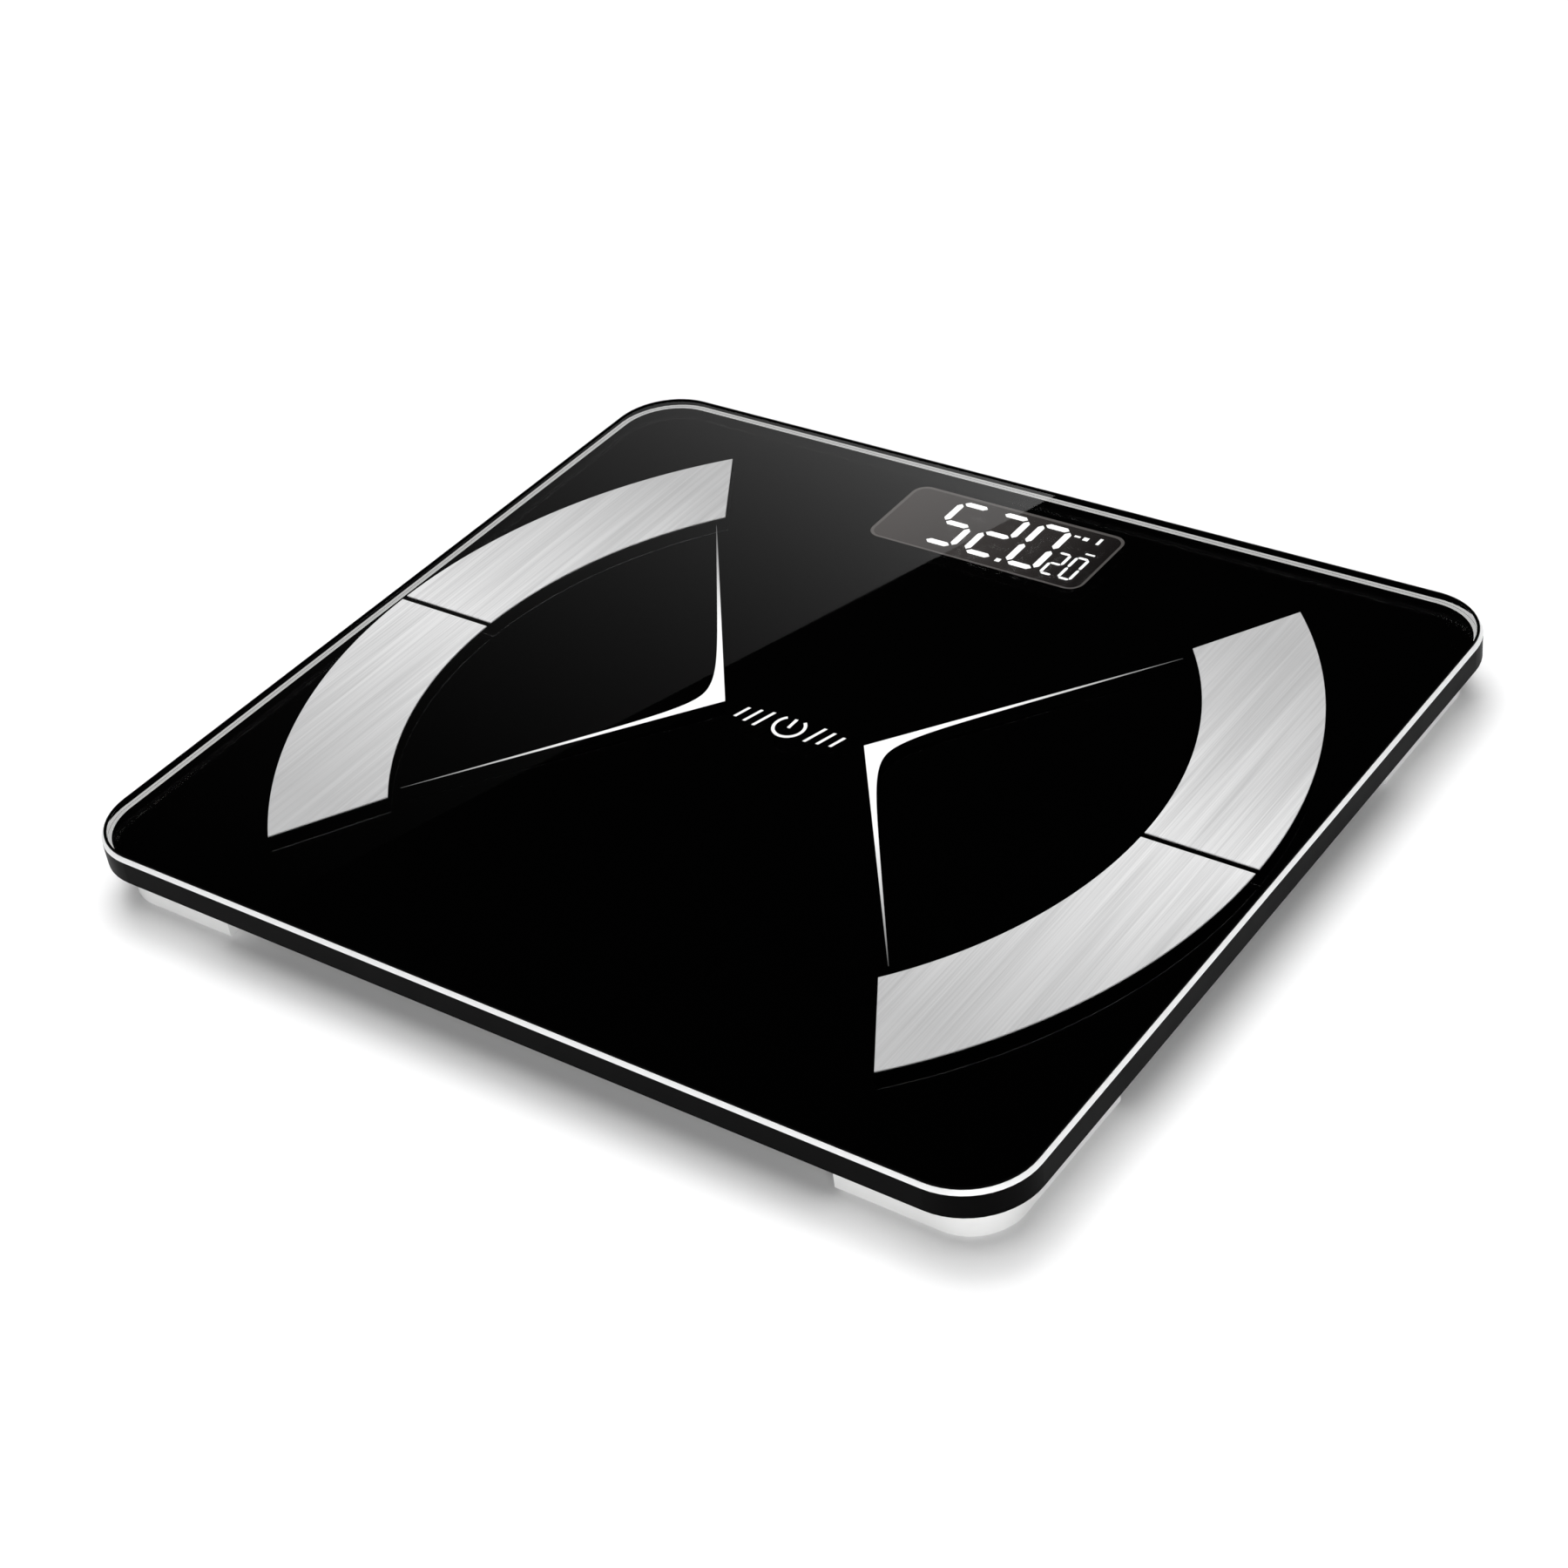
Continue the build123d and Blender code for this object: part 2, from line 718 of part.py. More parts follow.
with BuildPart() as lcd_frame:
    with BuildSketch(Plane.XY.offset(board_top)):
        with Locations((display_x, display_y)):
            RectangleRounded(lcd_frame_width, lcd_frame_depth, 1.5)
            Rectangle(lcd_width + 0.3, lcd_depth + 0.3, mode=Mode.SUBTRACT)
    extrude(amount=film_bottom - air_gap - board_top)
finish(lcd_frame.part, "lcd_frame")

with BuildPart() as strips:
    with BuildSketch(Plane.XY.offset(board_top)):
        with Locations((display_x, display_y + 15.2), (display_x, display_y - 15.2)):
            Rectangle(64, 2.2)
    extrude(amount=lcd_bottom - board_top)
finish(strips.part, "lcd_contact_strips")

# ---- Leads: straight runs joined by tangent arcs, in the space over the tray floor ----


def lead(points, radii):
    with BuildPart() as tube:
        with BuildLine() as path:
            FilletPolyline(*points, radius=radii)
        with BuildSketch(Plane(path.line @ 0, z_dir=path.line % 0)):
            Circle(lead_radius)
        sweep()
    length = sum(edge.length for edge in path.edges())
    expected = math.pi * lead_radius**2 * length
    print("lead length", round(length, 1), "radii", radii,
          "volume ratio", round(tube.part.volume / expected, 4))
    return tube.part


for name, (sx, sy) in corners.items():
    place = name.split("_")[0]
    cell_row = lead_rows[f"{place}_cell"]
    contact_row = lead_rows[f"{place}_contact"]
    if sy > 0:
        cell_bends = [(66, cell_row)]
        contact_bends = [(98, contact_y), (66, contact_row)]
    else:
        cell_bends = [(74, -62), (55, cell_row)]
        contact_bends = [(94, -contact_y), (60, contact_row)]
    cell_points = [(sx * lead_start_x, sy * block_y, cell_bottom + cell_thickness)]
    cell_points.append((sx * lead_start_x, sy * block_y, lead_height))
    cell_points += [(sx * x, y, lead_height) for x, y in cell_bends]
    cell_points.append((sx * header_x, cell_row, lead_height))
    finish(lead(cell_points, [4.0] + [14.0] * len(cell_bends)), f"cell_lead_{name}")
    contact_points = [(sx * (contact_x - contact_radius), sy * contact_y, lead_height)]
    contact_points += [(sx * x, y, lead_height) for x, y in contact_bends]
    contact_points.append((sx * header_x, contact_row, lead_height))
    finish(lead(contact_points, [20.0, 14.0]), f"contact_lead_{name}")
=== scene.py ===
import json
import math

import bpy
import numpy as np
from mathutils import Matrix, Vector


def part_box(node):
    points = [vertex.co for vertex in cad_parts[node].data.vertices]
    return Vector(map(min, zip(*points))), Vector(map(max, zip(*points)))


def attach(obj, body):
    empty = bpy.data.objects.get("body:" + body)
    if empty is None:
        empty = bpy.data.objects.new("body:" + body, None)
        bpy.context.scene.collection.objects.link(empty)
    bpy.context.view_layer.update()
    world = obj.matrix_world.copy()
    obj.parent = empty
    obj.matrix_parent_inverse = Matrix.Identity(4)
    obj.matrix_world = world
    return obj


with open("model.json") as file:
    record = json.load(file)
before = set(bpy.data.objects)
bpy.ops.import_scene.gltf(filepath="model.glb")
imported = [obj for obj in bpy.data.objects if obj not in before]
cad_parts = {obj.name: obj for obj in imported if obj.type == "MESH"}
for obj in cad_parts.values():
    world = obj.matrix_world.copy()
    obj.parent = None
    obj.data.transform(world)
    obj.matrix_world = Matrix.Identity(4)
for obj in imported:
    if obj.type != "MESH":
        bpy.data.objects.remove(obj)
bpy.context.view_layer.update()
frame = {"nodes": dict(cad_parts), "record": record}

nodes = frame["nodes"]
scene = bpy.context.scene
mm = 0.001
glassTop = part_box("glass_platform")[1].z
lcdLow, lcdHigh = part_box("lcd_panel")
print("frame loaded,", len(nodes), "nodes")

cameraSettings = {
    "yaw": 39.996,           # degrees, turned from +Y towards -X
    "elevation": 36.454,
    "roll": -7.976,
    "aim": (13.427 * mm, -23.443 * mm),   # on the glass top
    "distance": 789.7 * mm,
    "lens": 69.65,
}


def makeCamera(settings):
    # right, up and forward come from yaw and elevation, then right and up turn by the roll
    yaw, elevation, roll = (math.radians(settings[k]) for k in ("yaw", "elevation", "roll"))
    flat = math.cos(elevation)
    forward = Vector((-math.sin(yaw) * flat, math.cos(yaw) * flat, -math.sin(elevation)))
    right = Vector((math.cos(yaw), math.sin(yaw), 0))
    up = right.cross(forward)
    rolledRight = right * math.cos(roll) + up * math.sin(roll)
    rolledUp = up * math.cos(roll) - right * math.sin(roll)
    place = Vector((*settings["aim"], glassTop)) - forward * settings["distance"]
    data = bpy.data.cameras.new("camera")
    data.sensor_width = 36
    data.lens = settings["lens"]
    data.clip_start, data.clip_end = 0.01, 50
    camera = bpy.data.objects.new("camera", data)
    scene.collection.objects.link(camera)
    turn = Matrix((rolledRight, rolledUp, -forward)).transposed().to_4x4()
    camera.matrix_world = Matrix.Translation(place) @ turn
    scene.camera = camera
    return place


eye = makeCamera(cameraSettings)

stageSettings = {
    "floorSize": 12.0,
    "floorColour": (0.95, 0.95, 0.952),
    "floorGlow": (0.45, 1.6, 1.0),   # starts at this distance, is full at this one, and how strong it is
    "worldColour": (0.004, 0.004, 0.004),
    "backdropColour": (1.0, 1.0, 1.0),
    "lights": {
        # name: (place, size, power, shows in gloss)
        "topLight": ((0.05, -0.05, 1.15), 1.2, 10.5, False),
        "rearLight": ((-0.75, 0.90, 2.1), 1.9, 28, False),
        "fillLight": ((1.35, -1.7, 0.95), 1.6, 34, False),
        "underLight": ((0.0, 0.0, -1.2), 1.6, 2.3, False),
    },
    "glareGlow": 0.205,
    "glareFall": (6.2, -5.4),  # how fast the glow's logarithm rises to the right and upwards, per metre
    "glareStart": (-0.086, 0.65),  # the place on the panel where the glow has its stated value
    "glareDistance": 1.2,    # from the plate's middle to the panel
    "glareBorder": ((3.0, 124.5), (-69.3, -102.6)),  # the panel's straight edge, seen in the glass, mm
    "glareSpare": (0.35, 0.4),   # how much longer the edge runs past its two ends, as shares of its length
    "glareSide": (-0.40, 0.16),  # from the straight edge to the panel's other side, seen in the glass
}


def gridMesh(name, grids):
    # each grid is an array (rows, columns, 3) of points, and neighbours on it become four-sided faces
    points, faces, start = [], [], 0
    for grid in grids:
        rows, columns = grid.shape[:2]
        index = start + np.arange(rows * columns).reshape(rows, columns)
        quads = np.stack([index[:-1, :-1], index[:-1, 1:], index[1:, 1:], index[1:, :-1]], -1)
        points.append(grid.reshape(-1, 3))
        faces.append(quads.reshape(-1, 4))
        start += rows * columns
    mesh = bpy.data.meshes.new(name)
    mesh.from_pydata(np.concatenate(points).tolist(), [], np.concatenate(faces).tolist())
    mesh.validate()
    piece = bpy.data.objects.new(name, mesh)
    scene.collection.objects.link(piece)
    return piece


def linkedNode(tree, kind, links=None, **values):
    # values set sockets by name, links joins another node's output to a socket
    node = tree.nodes.new(kind)
    for key, value in values.items():
        if key in node.inputs:
            node.inputs[key].default_value = value
        else:
            setattr(node, key, value)
    for key, source in (links or {}).items():
        tree.links.new(source, node.inputs[key])
    return node


def mapRange(tree, source, low, high, outLow, outHigh):
    node = linkedNode(tree, "ShaderNodeMapRange", {"Value": source})
    node.inputs["From Min"].default_value = low
    node.inputs["From Max"].default_value = high
    node.inputs["To Min"].default_value = outLow
    node.inputs["To Max"].default_value = outHigh
    return node.outputs["Result"]


def mixColour(tree, factor, first, second):
    node = tree.nodes.new("ShaderNodeMix")
    node.data_type = "RGBA"
    tree.links.new(factor, node.inputs[0])
    colourInputs = [s for s in node.inputs if s.type == "RGBA"]
    for socket, value in zip(colourInputs, (first, second)):
        if isinstance(value, tuple):
            socket.default_value = (*value, 1)
        else:
            tree.links.new(value, socket)
    return [s for s in node.outputs if s.type == "RGBA"][0]


def objectAxis(tree, axis):
    coordinates = linkedNode(tree, "ShaderNodeTexCoord").outputs["Object"]
    split = linkedNode(tree, "ShaderNodeSeparateXYZ", {0: coordinates})
    return split.outputs[axis]


def areaLight(name, place, size, power, glossy, target):
    data = bpy.data.lights.new(name, "AREA")
    data.shape = "DISK"
    data.size = size
    data.energy = power
    light = bpy.data.objects.new(name, data)
    light.location = place
    light.rotation_mode = "QUATERNION"
    light.rotation_quaternion = (Vector(target) - Vector(place)).to_track_quat("-Z", "Y")
    light.visible_camera = False
    light.visible_glossy = glossy
    light.visible_transmission = False
    scene.collection.objects.link(light)


def makeStage(settings):
    half = settings["floorSize"] / 2
    corner = np.array([[[-half, -half, 0], [half, -half, 0]], [[-half, half, 0], [half, half, 0]]])
    floor = gridMesh("floor", [corner])
    paint = bpy.data.materials.new("floorPaint")
    paint.use_nodes = True
    tree = paint.node_tree
    shader = tree.nodes["Principled BSDF"]
    shader.inputs["Base Color"].default_value = (*settings["floorColour"], 1)
    shader.inputs["Roughness"].default_value = 0.9
    shader.inputs["Specular IOR Level"].default_value = 0.1
    # the floor far from the object glows, so it runs into the backdrop, and it is clear from below
    start, full, strength = settings["floorGlow"]
    coordinates = linkedNode(tree, "ShaderNodeTexCoord").outputs["Object"]
    distance = linkedNode(tree, "ShaderNodeVectorMath", {0: coordinates}, operation="LENGTH")
    shader.inputs["Emission Color"].default_value = (1, 1, 1, 1)
    tree.links.new(mapRange(tree, distance.outputs["Value"], start, full, 0.0, strength),
                   shader.inputs["Emission Strength"])
    below = linkedNode(tree, "ShaderNodeNewGeometry").outputs["Backfacing"]
    clear = linkedNode(tree, "ShaderNodeBsdfTransparent").outputs[0]
    mixed = linkedNode(tree, "ShaderNodeMixShader", {0: below, 1: shader.outputs[0], 2: clear})
    tree.links.new(mixed.outputs[0], tree.nodes["Material Output"].inputs["Surface"])
    floor.data.materials.append(paint)
    floor.visible_shadow = False

    # the backdrop is seen by the camera alone, so it lights nothing
    world = bpy.data.worlds.new("studio")
    world.use_nodes = True
    tree = world.node_tree
    seen = linkedNode(tree, "ShaderNodeLightPath").outputs["Is Camera Ray"]
    tree.links.new(mixColour(tree, seen, settings["worldColour"], settings["backdropColour"]),
                   tree.nodes["Background"].inputs["Color"])
    scene.world = world

    for name, (place, size, power, glossy) in settings["lights"].items():
        areaLight(name, place, size, power, glossy, (0, 0, 0))


def makeGlarePanel(settings):
    # a ray from the eye's mirror image through a point of the glass meets the panel
    # where that point's reflection is
    mirrorEye = np.array([eye.x, eye.y, 2 * glassTop - eye.z])
    yaw = math.radians(cameraSettings["yaw"])
    away = np.array([-math.sin(yaw), math.cos(yaw), 0])
    top, bottom = (np.array([*p, 0]) * mm for p in settings["glareBorder"])
    along = top - bottom
    side = np.array([*settings["glareSide"], 0])
    past, before = settings["glareSpare"]
    edge = np.array([bottom - before * along, top + past * along])
    seen = np.array([edge, edge + side])
    seen[..., 2] = glassTop
    ray = seen - mirrorEye
    reach = (settings["glareDistance"] - mirrorEye @ away) / (ray @ away)
    panel = gridMesh("glarePanel", [mirrorEye + ray * reach[..., None]])
    paint = bpy.data.materials.new("glareGlow")
    paint.use_nodes = True
    tree = paint.node_tree
    tree.nodes.clear()
    # glow = its start value times e to the power of (place minus start) times the fall, in both directions
    right, up = settings["glareFall"]
    startRight, startUp = settings["glareStart"]
    coordinates = linkedNode(tree, "ShaderNodeTexCoord").outputs["Object"]
    slope = linkedNode(tree, "ShaderNodeVectorMath", {0: coordinates}, operation="DOT_PRODUCT")
    slope.inputs[1].default_value = (right * math.cos(yaw), right * math.sin(yaw), up)
    shift = linkedNode(tree, "ShaderNodeMath", {0: slope.outputs["Value"]}, operation="SUBTRACT")
    shift.inputs[1].default_value = right * startRight + up * startUp
    growth = linkedNode(tree, "ShaderNodeMath", {0: shift.outputs[0]}, operation="EXPONENT")
    glow = linkedNode(tree, "ShaderNodeMath", {0: growth.outputs[0]}, operation="MULTIPLY")
    glow.inputs[1].default_value = settings["glareGlow"]
    emission = linkedNode(tree, "ShaderNodeEmission", {"Strength": glow.outputs[0]})
    out = linkedNode(tree, "ShaderNodeOutputMaterial")
    tree.links.new(emission.outputs[0], out.inputs["Surface"])
    panel.data.materials.append(paint)
    panel.visible_camera = False
    panel.visible_shadow = False
    panel.visible_diffuse = False
    panel.visible_transmission = False   # so only the glass's top face mirrors it


makeStage(stageSettings)
makeGlarePanel(stageSettings)
scene.view_settings.view_transform = "Standard"
print("camera and stage done")


def newGroup(name, inputs, outputs):
    group = bpy.data.node_groups.new(name, "ShaderNodeTree")
    for label, value in inputs:
        socket = group.interface.new_socket(label, in_out="INPUT", socket_type="NodeSocketFloat")
        socket.default_value = value
    for label, kind in outputs:
        group.interface.new_socket(label, in_out="OUTPUT", socket_type=kind)
    entry = group.nodes.new("NodeGroupInput")
    leave = group.nodes.new("NodeGroupOutput")
    coordinates = group.nodes.new("ShaderNodeTexCoord").outputs["Object"]
    return group, entry.outputs, leave.inputs, coordinates


def makeFineGrain():
    # spark-eroded mould texture: fine noise as a bump, and coarse noise as a mask
    group, entry, leave, coordinates = newGroup(
        "fineGrain", [("Scale", 3000), ("Depth", 0.2), ("Blotch", 40)],
        [("Mask", "NodeSocketFloat"), ("Normal", "NodeSocketVector")])
    fine = linkedNode(group, "ShaderNodeTexNoise",
                      {"Vector": coordinates, "Scale": entry["Scale"]}, Detail=3)
    coarse = linkedNode(group, "ShaderNodeTexNoise",
                        {"Vector": coordinates, "Scale": entry["Blotch"]}, Detail=4)
    bump = linkedNode(group, "ShaderNodeBump", {"Height": fine.outputs["Fac"], "Strength": entry["Depth"]},
                      Distance=0.00005)
    group.links.new(coarse.outputs["Fac"], leave["Mask"])
    group.links.new(bump.outputs["Normal"], leave["Normal"])
    return group


def makeBrushedLines():
    # lines along Y: noise squeezed across X, in two widths
    group, entry, leave, coordinates = newGroup(
        "brushedLines", [("Lines", 900), ("Length", 14), ("Depth", 0.1)],
        [("Mask", "NodeSocketFloat"), ("Normal", "NodeSocketVector")])
    scale = linkedNode(group, "ShaderNodeCombineXYZ", {"X": entry["Lines"], "Y": entry["Length"]}, Z=40)
    fine = linkedNode(group, "ShaderNodeVectorMath",
                      {0: coordinates, 1: scale.outputs[0]}, operation="MULTIPLY")
    coarse = linkedNode(group, "ShaderNodeVectorMath", {0: fine.outputs[0]}, operation="MULTIPLY")
    coarse.inputs[1].default_value = (0.22, 0.5, 1)
    first = linkedNode(group, "ShaderNodeTexNoise", {"Vector": fine.outputs[0]}, Scale=1, Detail=4)
    second = linkedNode(group, "ShaderNodeTexNoise", {"Vector": coarse.outputs[0]}, Scale=1, Detail=2)
    both = {0: first.outputs["Fac"], 1: second.outputs["Fac"]}
    mixed = linkedNode(group, "ShaderNodeMath", both, operation="ADD")
    half = linkedNode(group, "ShaderNodeMath", {0: mixed.outputs[0]}, operation="MULTIPLY")
    half.inputs[1].default_value = 0.5
    bump = linkedNode(group, "ShaderNodeBump", {"Height": half.outputs[0], "Strength": entry["Depth"]},
                      Distance=0.0001)
    group.links.new(half.outputs[0], leave["Mask"])
    group.links.new(bump.outputs["Normal"], leave["Normal"])
    return group


fineGrain = makeFineGrain()
brushedLines = makeBrushedLines()
print("shared effects done")


def startMaterial(name, colour, roughness, **sockets):
    material = bpy.data.materials.new(name)
    material.use_nodes = True
    shader = material.node_tree.nodes["Principled BSDF"]
    shader.inputs["Base Color"].default_value = (*colour, 1)
    shader.inputs["Roughness"].default_value = roughness
    for key, value in sockets.items():
        shader.inputs[key.replace("_", " ")].default_value = value
    return material, material.node_tree, shader


def placed(tree, group, **values):
    node = tree.nodes.new("ShaderNodeGroup")
    node.node_tree = group
    for key, value in values.items():
        node.inputs[key].default_value = value
    return node.outputs


plasticFinishes = {
    # slot: (colour, darker colour, roughness, roughness spread, grain scale, grain depth)
    "black_abs": ((0.0014, 0.0014, 0.0014), (0.0008, 0.0008, 0.0008), 0.4, 0.05, 1500, 0.08),
    "white_abs": ((0.84, 0.84, 0.835), (0.80, 0.80, 0.795), 0.42, 0.06, 2600, 0.25),
    "white_foam": ((0.86, 0.86, 0.85), (0.80, 0.80, 0.79), 0.8, 0.05, 4000, 0.5),
    "grey_plastic": ((0.36, 0.36, 0.365), (0.32, 0.32, 0.33), 0.45, 0.06, 2600, 0.25),
    "grey_rubber": ((0.12, 0.12, 0.122), (0.09, 0.09, 0.092), 0.75, 0.08, 1800, 0.5),
    "battery_sleeve": ((0.05, 0.12, 0.35), (0.04, 0.10, 0.30), 0.25, 0.05, 800, 0.03),
    "circuit_board": ((0.012, 0.10, 0.035), (0.01, 0.07, 0.028), 0.35, 0.1, 500, 0.2),
    "chip_black": ((0.02, 0.02, 0.021), (0.014, 0.014, 0.015), 0.5, 0.08, 2500, 0.3),
    "backlight_white": ((0.85, 0.85, 0.83), (0.80, 0.80, 0.78), 0.5, 0.05, 1500, 0.1),
    "strip_rubber": ((0.55, 0.36, 0.30), (0.45, 0.30, 0.26), 0.6, 0.08, 1500, 0.3),
    "gauge_film": ((0.60, 0.30, 0.06), (0.45, 0.20, 0.04), 0.3, 0.1, 900, 0.1),
    "lead_red": ((0.45, 0.02, 0.015), (0.35, 0.015, 0.012), 0.35, 0.05, 900, 0.05),
    "lead_black": ((0.02, 0.02, 0.02), (0.015, 0.015, 0.015), 0.35, 0.05, 900, 0.05),
}
metalFinishes = {
    # slot: (colour, darker colour, roughness, roughness spread)
    "plated_steel": ((0.72, 0.71, 0.69), (0.60, 0.59, 0.57), 0.25, 0.1),
    "screw_steel": ((0.56, 0.57, 0.58), (0.45, 0.46, 0.47), 0.32, 0.12),
    "cell_steel": ((0.55, 0.55, 0.56), (0.46, 0.46, 0.47), 0.4, 0.12),
}
electrodeFinish = {
    # the first two colours are a painted sheen: the metal's base colour is made lighter beside the gap and
    # darker at the ends, for how the light falls on it
    "paintedSheenNearGap": (0.87, 0.87, 0.872),    # beside the gap
    "paintedSheenAtEnds": (0.56, 0.56, 0.562),      # at the ends
    "streak": (0.38, 0.38, 0.382),    # in the deepest lines
    "streakShare": 0.5,
    "roughness": 0.6,
    "metallic": 0.2,
    "sheenFadeLength": 0.085,
    "lines": 2300,            # per metre across the brushing, and along it
    "lineLength": 20,
    "lineDepth": 0.25,
}
glassFinish = {"colour": (1.0, 1.0, 1.0), "roughness": 0.01, "ior": 1.5}
# the gasket's glow is painted light, so the white ring shows through the glass
gasketFinish = {"colour": (0.92, 0.92, 0.91), "darker": (0.86, 0.86, 0.85), "glow": 0.55}
segmentFinish = {"colour": (1, 1, 0.99), "darker": (0.94, 0.95, 0.94), "glow": 1.3}
# the trim's near-white colour is partly its own and partly a painted highlight, for the glint along the
# plate's top edge
trimFinishPaintedHighlight = {"colour": (0.94, 0.94, 0.94), "darker": (0.88, 0.88, 0.88),
              "roughness": 0.35, "metallic": 0.15}
tubSpecular = 0.02           # how much the black plastic shines
displayFinish = {             # the left and right ends of the panel
    "left": (0.088, 0.080, 0.077), "right": (0.006, 0.005, 0.005), "glow": 1.0,
}


def plasticMaterial(slot, finish):
    colour, darker, roughness, spread, scale, depth = finish
    material, tree, shader = startMaterial(slot, colour, roughness)
    grain = placed(tree, fineGrain, Scale=scale, Depth=depth, Blotch=60)
    tree.links.new(mixColour(tree, grain["Mask"], darker, colour), shader.inputs["Base Color"])
    rough = mapRange(tree, grain["Mask"], 0.3, 0.7, roughness - spread, roughness + spread)
    tree.links.new(rough, shader.inputs["Roughness"])
    tree.links.new(grain["Normal"], shader.inputs["Normal"])
    return material


def filmMaterial():
    # matt ink, so what shows is the gloss of the glass above it
    material, tree, shader = startMaterial("black_print", (0.0006, 0.0006, 0.0007), 0.9,
                                           Specular_IOR_Level=0.0)
    grain = placed(tree, fineGrain, Scale=900, Depth=0.02, Blotch=25)
    ink = mixColour(tree, grain["Mask"], (0.0004, 0.0004, 0.0004), (0.0008, 0.0008, 0.0009))
    tree.links.new(ink, shader.inputs["Base Color"])
    return material


def metalMaterial(slot, finish):
    colour, darker, roughness, spread = finish
    material, tree, shader = startMaterial(slot, colour, roughness, Metallic=1.0)
    grain = placed(tree, fineGrain, Scale=900, Depth=0.12, Blotch=150)
    tree.links.new(mixColour(tree, grain["Mask"], darker, colour), shader.inputs["Base Color"])
    rough = mapRange(tree, grain["Mask"], 0.3, 0.7, roughness - spread, roughness + spread)
    tree.links.new(rough, shader.inputs["Roughness"])
    tree.links.new(grain["Normal"], shader.inputs["Normal"])
    return material


def electrodeMaterial(finish):
    # painted sheen: the base colour is lighter towards the middle gap and darker towards the ends, for how
    # the light falls on the metal; brushed lines go over it
    material, tree, shader = startMaterial("brushed_electrode", finish["paintedSheenNearGap"], finish["roughness"],
                                           Metallic=finish["metallic"])
    lines = placed(tree, brushedLines, Lines=finish["lines"], Length=finish["lineLength"],
                   Depth=finish["lineDepth"])
    far = linkedNode(tree, "ShaderNodeMath", {0: objectAxis(tree, "Y")}, operation="ABSOLUTE")
    # the painted sheen, blended by distance from the middle
    fade = mapRange(tree, far.outputs[0], 0.0, finish["sheenFadeLength"], 0.0, 1.0)
    body = mixColour(tree, fade, finish["paintedSheenNearGap"], finish["paintedSheenAtEnds"])
    shade = mapRange(tree, lines["Mask"], 0.38, 0.66, 0.0, finish["streakShare"])
    tree.links.new(mixColour(tree, shade, body, finish["streak"]), shader.inputs["Base Color"])
    rough = mapRange(tree, lines["Mask"], 0.3, 0.7, finish["roughness"] - 0.06, finish["roughness"] + 0.08)
    tree.links.new(rough, shader.inputs["Roughness"])
    tree.links.new(lines["Normal"], shader.inputs["Normal"])
    return material


def glassMaterial(finish):
    material, tree, shader = startMaterial("tempered_glass", finish["colour"], finish["roughness"],
                                           IOR=finish["ior"], Transmission_Weight=1.0)
    grain = placed(tree, fineGrain, Scale=300, Depth=0.0, Blotch=30)
    rough = mapRange(tree, grain["Mask"], 0.3, 0.7, finish["roughness"] * 0.6, finish["roughness"] * 1.4)
    tree.links.new(rough, shader.inputs["Roughness"])
    return material


def displayMaterial(finish):
    # a negative panel lit from behind: warm grey, darker to the right
    material, tree, shader = startMaterial("display_glass", (0.02, 0.02, 0.02), 0.25)
    across = mapRange(tree, objectAxis(tree, "X"), lcdLow.x, lcdHigh.x, 0.0, 1.0)
    tree.links.new(mixColour(tree, across, finish["left"], finish["right"]), shader.inputs["Emission Color"])
    shader.inputs["Emission Strength"].default_value = finish["glow"]
    return material


def whitePrintMaterial(name, fadeFrom, fadeTo):
    # white enamel that fades to black towards the arms' tips
    material, tree, shader = startMaterial(name, (0.85, 0.85, 0.85), 0.4)
    grain = placed(tree, fineGrain, Scale=2500, Depth=0.05, Blotch=80)
    far = linkedNode(tree, "ShaderNodeMath", {0: objectAxis(tree, "Y")}, operation="ABSOLUTE")
    fade = mapRange(tree, far.outputs[0], fadeFrom, fadeTo, 0.0, 1.0)
    white = mixColour(tree, grain["Mask"], (0.84, 0.84, 0.84), (0.90, 0.90, 0.90))
    tree.links.new(mixColour(tree, fade, white, (0.01, 0.01, 0.01)), shader.inputs["Base Color"])
    tree.links.new(grain["Normal"], shader.inputs["Normal"])
    return material


def gasketMaterial(finish):
    # white foam with a painted glow: it is no lamp, and its emission stands in for light that the glass
    # carries to its edge
    material, tree, shader = startMaterial("gasketFoamPaintedGlow", (0.9, 0.9, 0.89), 0.8)
    grain = placed(tree, fineGrain, Scale=4000, Depth=0.3, Blotch=30)
    tree.links.new(mixColour(tree, grain["Mask"], finish["darker"], finish["colour"]),
                   shader.inputs["Base Color"])
    tree.links.new(grain["Normal"], shader.inputs["Normal"])
    shader.inputs["Emission Color"].default_value = (1, 1, 0.99, 1)
    shader.inputs["Emission Strength"].default_value = finish["glow"]
    return material


def litSegmentMaterial(finish=segmentFinish):
    material, tree, shader = startMaterial("litSegments", (0.9, 0.9, 0.9), 0.5)
    grain = placed(tree, fineGrain, Scale=6000, Depth=0.05, Blotch=500)
    tree.links.new(mixColour(tree, grain["Mask"], finish["darker"], finish["colour"]),
                   shader.inputs["Emission Color"])
    tree.links.new(grain["Normal"], shader.inputs["Normal"])
    shader.inputs["Emission Strength"].default_value = finish["glow"]
    return material


def trimMaterial(finish):
    material, tree, shader = startMaterial("silver_trim", finish["colour"], finish["roughness"],
                                           Metallic=finish["metallic"])
    grain = placed(tree, fineGrain, Scale=1500, Depth=0.05, Blotch=60)
    # near-white: partly the trim's own colour, partly a painted highlight of the edge
    white = mixColour(tree, grain["Mask"], finish["darker"], finish["colour"])
    tree.links.new(white, shader.inputs["Base Color"])
    tree.links.new(grain["Normal"], shader.inputs["Normal"])
    return material


